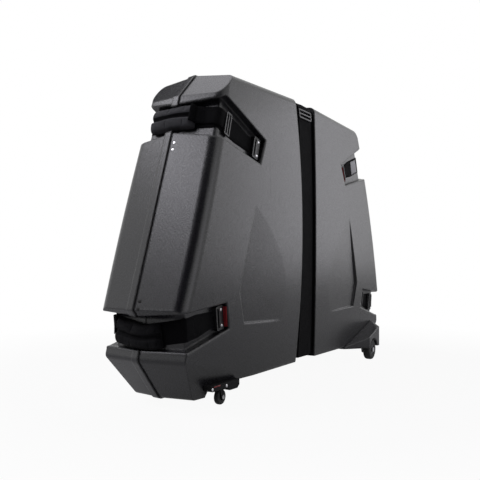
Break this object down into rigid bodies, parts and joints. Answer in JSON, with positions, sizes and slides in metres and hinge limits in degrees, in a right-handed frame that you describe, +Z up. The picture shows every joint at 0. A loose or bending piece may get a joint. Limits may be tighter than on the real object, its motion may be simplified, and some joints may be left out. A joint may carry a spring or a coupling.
{
  "type": "bike travel case",
  "caption": "Hard clamshell bike travel case on casters and fixed wheels, closed by webbing straps in recesses round its ends and middle.",
  "frame": {"origin": "on the floor under the middle of the case, centre of its length and width", "axes": "+X along the case from the caster end to the fixed-wheel end, +Y from the right half to the left half, +Z up"},
  "size_m": [1.3522, 0.372, 0.8771],
  "materials": {
    "shell_plastic": "satin moulded charcoal plastic with a fine grain",
    "black_plastic": "black moulded plastic",
    "anchor_plastic": "black moulded plastic, lightly polished edges",
    "buckle_plastic": "black acetal",
    "webbing": "woven black webbing",
    "sleeve_fabric": "padded black fabric sleeve",
    "tab_webbing": "red webbing tab",
    "gasket_rubber": "black rubber",
    "rivet_metal": "bright aluminium",
    "axle_steel": "plated steel",
    "tyre_rubber": "black wheel rubber",
    "hub_plastic": "grey nylon wheel centre",
    "foam": "dark foam lining"
  },
  "bodies": {
    "right_half": {"front_shell_right": "shell_plastic", "rear_shell_right": "shell_plastic", "front_seam_lip": "black_plastic", "rear_seam_lip": "black_plastic", "girth_channel_right": "black_plastic", "anchor_rivets_right": "rivet_metal", "foam_lining_right": "foam", "caster_housing_right": "black_plastic", "caster_rivets_right": "rivet_metal", "wheel_cover_right": "shell_plastic", "wheel_axle_right": "axle_steel", "seam_gasket": "gasket_rubber", "seam_rivets": "rivet_metal", "girth_buckle": "buckle_plastic", "front_upper_buckle": "buckle_plastic", "rear_lower_buckle": "buckle_plastic", "front_lower_release_tab": "tab_webbing", "rear_upper_release_tab": "tab_webbing", "front_upper_strap": "webbing", "front_lower_strap": "webbing", "rear_upper_strap": "webbing", "rear_lower_strap": "webbing", "girth_strap": "webbing", "front_upper_anchor_right": "anchor_plastic", "front_lower_anchor_right": "anchor_plastic", "rear_upper_anchor_right": "anchor_plastic", "rear_lower_anchor_right": "anchor_plastic"},
    "left_half": {"front_shell_left": "shell_plastic", "rear_shell_left": "shell_plastic", "girth_channel_left": "black_plastic", "anchor_rivets_left": "rivet_metal", "foam_lining_left": "foam", "caster_housing_left": "black_plastic", "caster_rivets_left": "rivet_metal", "wheel_cover_left": "shell_plastic", "wheel_axle_left": "axle_steel", "front_lower_buckle": "buckle_plastic", "rear_upper_buckle": "buckle_plastic", "front_upper_release_tab": "tab_webbing", "rear_lower_release_tab": "tab_webbing", "front_upper_anchor_left": "anchor_plastic", "front_lower_anchor_left": "anchor_plastic", "rear_upper_anchor_left": "anchor_plastic", "rear_lower_anchor_left": "anchor_plastic", "front_upper_handle": "sleeve_fabric", "front_lower_handle": "sleeve_fabric", "rear_upper_handle": "sleeve_fabric", "rear_lower_handle": "sleeve_fabric"},
    "caster_fork_body_right": {"caster_fork_right": "black_plastic", "caster_axle_right": "axle_steel"},
    "caster_wheel_body_right": {"caster_tyre_right": "tyre_rubber", "caster_hub_right": "hub_plastic"},
    "rear_wheel_body_right": {"wheel_tyre_right": "tyre_rubber", "wheel_hub_right": "hub_plastic"},
    "caster_fork_body_left": {"caster_fork_left": "black_plastic", "caster_axle_left": "axle_steel"},
    "caster_wheel_body_left": {"caster_tyre_left": "tyre_rubber", "caster_hub_left": "hub_plastic"},
    "rear_wheel_body_left": {"wheel_tyre_left": "tyre_rubber", "wheel_hub_left": "hub_plastic"}
  },
  "joints": [
    {"name": "left_half_opening", "type": "slide", "parent": "right_half", "child": "left_half", "axis": [0, 1, 0], "range_m": [0, 0.28], "deforming": ["front_upper_strap", "front_lower_strap", "rear_upper_strap", "rear_lower_strap", "girth_strap", "front_upper_handle", "front_lower_handle", "rear_upper_handle", "rear_lower_handle"]},
    {"name": "caster_swivel_right", "type": "hinge", "parent": "right_half", "child": "caster_fork_body_right", "pos_m": [-0.48, -0.113, 0.043], "axis": [0, 0, 1], "continuous": true},
    {"name": "caster_wheel_right", "type": "hinge", "parent": "caster_fork_body_right", "child": "caster_wheel_body_right", "pos_m": [-0.475, -0.113, 0.0195], "axis": [0, 1, 0], "continuous": true},
    {"name": "rear_wheel_right", "type": "hinge", "parent": "right_half", "child": "rear_wheel_body_right", "pos_m": [0.437, -0.169, 0.036], "axis": [0, 1, 0], "continuous": true},
    {"name": "caster_swivel_left", "type": "hinge", "parent": "left_half", "child": "caster_fork_body_left", "pos_m": [-0.48, 0.113, 0.043], "axis": [0, 0, 1], "continuous": true},
    {"name": "caster_wheel_left", "type": "hinge", "parent": "caster_fork_body_left", "child": "caster_wheel_body_left", "pos_m": [-0.475, 0.113, 0.0195], "axis": [0, 1, 0], "continuous": true},
    {"name": "rear_wheel_left", "type": "hinge", "parent": "left_half", "child": "rear_wheel_body_left", "pos_m": [0.437, 0.169, 0.036], "axis": [0, 1, 0], "continuous": true}
  ]
}
